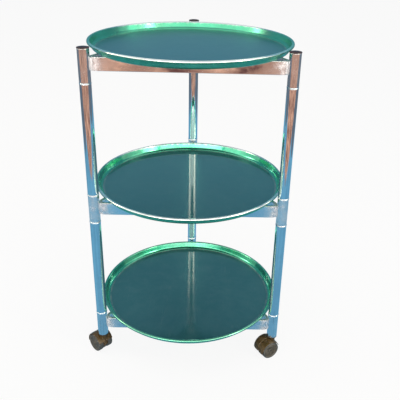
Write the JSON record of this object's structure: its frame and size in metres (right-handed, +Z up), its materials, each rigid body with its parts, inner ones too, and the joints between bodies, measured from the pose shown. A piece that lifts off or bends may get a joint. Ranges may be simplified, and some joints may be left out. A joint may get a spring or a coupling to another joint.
{
  "type": "rolling three-tier tray trolley",
  "caption": "Rolling trolley with round lift-off trays on a tubular stand with twin-wheel swivel casters.",
  "frame": {"origin": "on the floor, at the middle of the footprint's bounding box", "axes": "+Z up, +X along the row of the two front legs towards the right leg, +Y from the front legs to the rear leg"},
  "size_m": [0.4306, 0.4434, 0.681],
  "materials": {
    "chrome": "polished chrome plate",
    "collar": "bright turned",
    "tray": "green anodised, satin",
    "cap": "moulded, dark maroon",
    "socket": "moulded, black",
    "steel": "bright drawn",
    "hood": "moulded, dark brown",
    "wheel": "moulded, tan",
    "tyre": "worn grey"
  },
  "bodies": {
    "stand": {"lower_post_left": "chrome", "coupling_over_lower_post_left": "collar", "coupling_under_middle_post_left": "collar", "tube_lower_to_middle_left": "chrome", "middle_post_left": "chrome", "coupling_over_middle_post_left": "collar", "coupling_under_top_post_left": "collar", "tube_middle_to_top_left": "chrome", "top_post_left": "chrome", "leg_cap_left": "cap", "caster_socket_left": "socket", "caster_stem_left": "steel", "lower_post_right": "chrome", "coupling_over_lower_post_right": "collar", "coupling_under_middle_post_right": "collar", "tube_lower_to_middle_right": "chrome", "middle_post_right": "chrome", "coupling_over_middle_post_right": "collar", "coupling_under_top_post_right": "collar", "tube_middle_to_top_right": "chrome", "top_post_right": "chrome", "leg_cap_right": "cap", "caster_socket_right": "socket", "caster_stem_right": "steel", "lower_post_rear": "chrome", "coupling_over_lower_post_rear": "collar", "coupling_under_middle_post_rear": "collar", "tube_lower_to_middle_rear": "chrome", "middle_post_rear": "chrome", "coupling_over_middle_post_rear": "collar", "coupling_under_top_post_rear": "collar", "tube_middle_to_top_rear": "chrome", "top_post_rear": "chrome", "leg_cap_rear": "cap", "caster_socket_rear": "socket", "caster_stem_rear": "steel", "lower_tier_frame": "chrome", "middle_tier_frame": "chrome", "top_tier_frame": "chrome"},
    "caster_left": {"caster_hood_left": "hood", "caster_axle_left": "steel"},
    "wheel_a_left": {"wheel_a_left": "wheel", "tyre_a_left": "tyre"},
    "wheel_b_left": {"wheel_b_left": "wheel", "tyre_b_left": "tyre"},
    "caster_right": {"caster_hood_right": "hood", "caster_axle_right": "steel"},
    "wheel_a_right": {"wheel_a_right": "wheel", "tyre_a_right": "tyre"},
    "wheel_b_right": {"wheel_b_right": "wheel", "tyre_b_right": "tyre"},
    "caster_rear": {"caster_hood_rear": "hood", "caster_axle_rear": "steel"},
    "wheel_a_rear": {"wheel_a_rear": "wheel", "tyre_a_rear": "tyre"},
    "wheel_b_rear": {"wheel_b_rear": "wheel", "tyre_b_rear": "tyre"},
    "lower_tray": {"lower_tray": "tray"},
    "middle_tray": {"middle_tray": "tray"},
    "top_tray": {"top_tray": "tray"}
  },
  "joints": [
    {"name": "caster_swivel_left", "type": "hinge", "parent": "stand", "child": "caster_left", "pos_m": [-0.17821, -0.13052, 0.0442], "axis": [0, 0, 1], "continuous": true},
    {"name": "wheel_spin_a_left", "type": "hinge", "parent": "caster_left", "child": "wheel_a_left", "pos_m": [-0.1867, -0.12203, 0.02], "axis": [-0.7071, -0.7071, 0], "continuous": true},
    {"name": "wheel_spin_b_left", "type": "hinge", "parent": "caster_left", "child": "wheel_b_left", "pos_m": [-0.1867, -0.12203, 0.02], "axis": [-0.7071, -0.7071, 0], "continuous": true},
    {"name": "caster_swivel_right", "type": "hinge", "parent": "stand", "child": "caster_right", "pos_m": [0.19851, -0.13052, 0.0442], "axis": [0, 0, 1], "continuous": true},
    {"name": "wheel_spin_a_right", "type": "hinge", "parent": "caster_right", "child": "wheel_a_right", "pos_m": [0.18812, -0.13652, 0.02], "axis": [0.5, -0.866, 0], "continuous": true},
    {"name": "wheel_spin_b_right", "type": "hinge", "parent": "caster_right", "child": "wheel_b_right", "pos_m": [0.18812, -0.13652, 0.02], "axis": [0.5, -0.866, 0], "continuous": true},
    {"name": "caster_swivel_rear", "type": "hinge", "parent": "stand", "child": "caster_rear", "pos_m": [0.01015, 0.19573, 0.0442], "axis": [0, 0, 1], "continuous": true},
    {"name": "wheel_spin_a_rear", "type": "hinge", "parent": "caster_rear", "child": "wheel_a_rear", "pos_m": [-0.00144, 0.19884, 0.02], "axis": [-0.2588, -0.9659, 0], "continuous": true},
    {"name": "wheel_spin_b_rear", "type": "hinge", "parent": "caster_rear", "child": "wheel_b_rear", "pos_m": [-0.00144, 0.19884, 0.02], "axis": [-0.2588, -0.9659, 0], "continuous": true},
    {"name": "lower_tray_lift", "type": "slide", "parent": "stand", "child": "lower_tray", "axis": [0, 0, 1], "range_m": [0, 0.2]},
    {"name": "middle_tray_lift", "type": "slide", "parent": "stand", "child": "middle_tray", "axis": [0, 0, 1], "range_m": [0, 0.2]},
    {"name": "top_tray_lift", "type": "slide", "parent": "stand", "child": "top_tray", "axis": [0, 0, 1], "range_m": [0, 0.2]}
  ]
}
